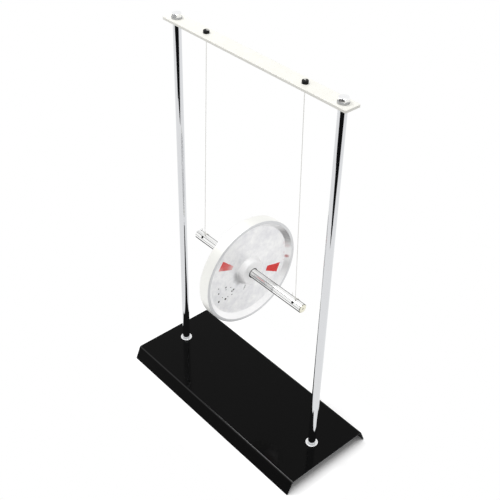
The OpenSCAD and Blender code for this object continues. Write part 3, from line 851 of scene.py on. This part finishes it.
# Stage: white floor and sky, a wide soft lamp overhead, a small one on the left, a dark room in front
stage = {
    "floorSize": 12.0,
    "floorColour": 0.9,               # share of the light that the paper gives back to the object
    "floorExposure": 1.2,             # the same to the eye: overexposed, so that only deep shadow shows
    "floorMirrored": 1.12,            # and as the metal mirrors it
    "farFrom": (0.0, 0.045),          # distances from the base between which the paper turns to plain white
    # edge of the white paper in front, mm, past which the room is dark
    "roomEdge": [(-420, -1090), (-160, -1010), (-20, -860), (40, -720), (230, -650), (318, -500), (440, -285),
                 (530, -225), (660, -160), (830, -50), (980, 20)],
    "roomReach": 4,                   # how many times as far out the room goes
    "roomZ": 2 * mm,
    "skyForObject": 0.45,
}
lamps = {
    "topLamp": {"at": (0.0, 0.0, 5.0), "aim": (0, 0, 0.2), "size": 3.5, "power": 130},
    "sideLamp": {"at": (-1.07, -0.45, 2.3), "aim": (0, 0, 0.1), "size": 0.5, "power": 13},
}


def seenRays(tree):  # the camera's rays, those mirrored or passed on, and both together
    path = addNode(tree, "ShaderNodeLightPath")
    mirrored = addNode(tree, "ShaderNodeMath", operation="MAXIMUM", links={
        0: path.outputs["Is Glossy Ray"], 1: path.outputs["Is Transmission Ray"]})
    seen = addNode(tree, "ShaderNodeMath", operation="MAXIMUM", links={
        0: path.outputs["Is Camera Ray"], 1: mirrored.outputs["Value"]})
    return path.outputs["Is Camera Ray"], mirrored.outputs["Value"], seen.outputs["Value"]


def layFloor():
    bm = bmesh.new()
    bmesh.ops.create_grid(bm, x_segments=1, y_segments=1, size=stage["floorSize"] / 2)
    mesh = bpy.data.meshes.new("floor")
    bm.to_mesh(mesh)
    bm.free()
    floor = bpy.data.objects.new("floor", mesh)
    scene.collection.objects.link(floor)
    material = bpy.data.materials.new("whitePaper")
    material.use_nodes = True
    tree = material.node_tree
    tree.nodes.clear()
    direct, mirrored, seen = seenRays(tree)
    given = addNode(tree, "ShaderNodeMapRange",
                    {"To Min": stage["floorColour"], "To Max": stage["floorMirrored"]}, {"Value": mirrored})
    share = addNode(tree, "ShaderNodeMapRange", {"To Max": stage["floorExposure"]},
                    {"Value": direct, "To Min": given.outputs["Result"]})
    paper = addNode(tree, "ShaderNodeBsdfDiffuse", links={"Color": share.outputs["Result"]})
    bright = addNode(tree, "ShaderNodeMapRange", {"To Min": 1.0, "To Max": stage["floorMirrored"]},
                     {"Value": mirrored})
    glow = addNode(tree, "ShaderNodeEmission", links={"Strength": bright.outputs["Result"]})
    place = addNode(tree, "ShaderNodeTexCoord")
    around = addNode(tree, "ShaderNodeVectorMath", links={0: place.outputs["Object"]}, operation="ABSOLUTE")
    past = addNode(tree, "ShaderNodeVectorMath", {1: (cadBox[1][0], cadBox[1][1], 0)},
                   {0: around.outputs["Vector"]}, operation="SUBTRACT")
    outside = addNode(tree, "ShaderNodeVectorMath", {1: (0, 0, 0)}, {0: past.outputs["Vector"]},
                      operation="MAXIMUM")
    away = addNode(tree, "ShaderNodeVectorMath", links={0: outside.outputs["Vector"]}, operation="LENGTH")
    nearEdge, farEdge = stage["farFrom"]
    far = addNode(tree, "ShaderNodeMapRange", {"From Min": nearEdge, "From Max": farEdge},
                  {"Value": away.outputs["Value"]})
    plain = addNode(tree, "ShaderNodeMath", links={0: seen, 1: far.outputs["Result"]}, operation="MULTIPLY")
    mix = addNode(tree, "ShaderNodeMixShader", links={
        0: plain.outputs["Value"], 1: paper.outputs["BSDF"], 2: glow.outputs["Emission"]})
    addNode(tree, "ShaderNodeOutputMaterial", links={"Surface": mix.outputs["Shader"]})
    mesh.materials.append(material)


def darkenRoom():  # seen only in the metal: the unlit room past the front edge of the white floor
    bm = bmesh.new()
    near = [bm.verts.new((x * mm, y * mm, stage["roomZ"])) for x, y in stage["roomEdge"]]
    edges = [bm.edges.new(pair) for pair in zip(near, near[1:])]
    made = bmesh.ops.extrude_edge_only(bm, edges=edges)["geom"]
    far = [g for g in made if isinstance(g, bmesh.types.BMVert)]
    bmesh.ops.scale(bm, verts=far, vec=(stage["roomReach"], stage["roomReach"], 1))
    mesh = bpy.data.meshes.new("darkRoom")
    bm.to_mesh(mesh)
    bm.free()
    room = bpy.data.objects.new("darkRoom", mesh)
    scene.collection.objects.link(room)
    mesh.materials.append(newMaterial("darkRoomFloor", {
        "Base Color": linear("#151516"), "Roughness": 1.0, "Specular IOR Level": 0.0})[0])
    room.visible_camera = room.visible_diffuse = room.visible_shadow = room.visible_transmission = False


def lightWorld():  # white to the eye and in the metal, a soft sky for the object
    world = bpy.data.worlds.new("studio")
    scene.world = world
    world.use_nodes = True
    tree = world.node_tree
    tree.nodes.clear()
    seen = seenRays(tree)[-1]
    strength = addNode(tree, "ShaderNodeMapRange", {"To Min": stage["skyForObject"], "To Max": 1.0},
                       {"Value": seen})
    sky = addNode(tree, "ShaderNodeBackground", {"Color": (1, 1, 1, 1)},
                  {"Strength": strength.outputs["Result"]})
    addNode(tree, "ShaderNodeOutputWorld", links={"Surface": sky.outputs["Background"]})


def hangLamp(name, setup):
    light = bpy.data.lights.new(name, "AREA")
    light.shape, light.size, light.energy = "SQUARE", setup["size"], setup["power"]
    lamp = bpy.data.objects.new(name, light)
    scene.collection.objects.link(lamp)
    lamp.location = setup["at"]
    lamp.rotation_mode = "QUATERNION"
    lamp.rotation_quaternion = (Vector(setup["aim"]) - Vector(setup["at"])).to_track_quat("-Z", "Y")


layFloor()
darkenRoom()
lightWorld()
for name, setup in lamps.items():
    hangLamp(name, setup)
print("stage set")
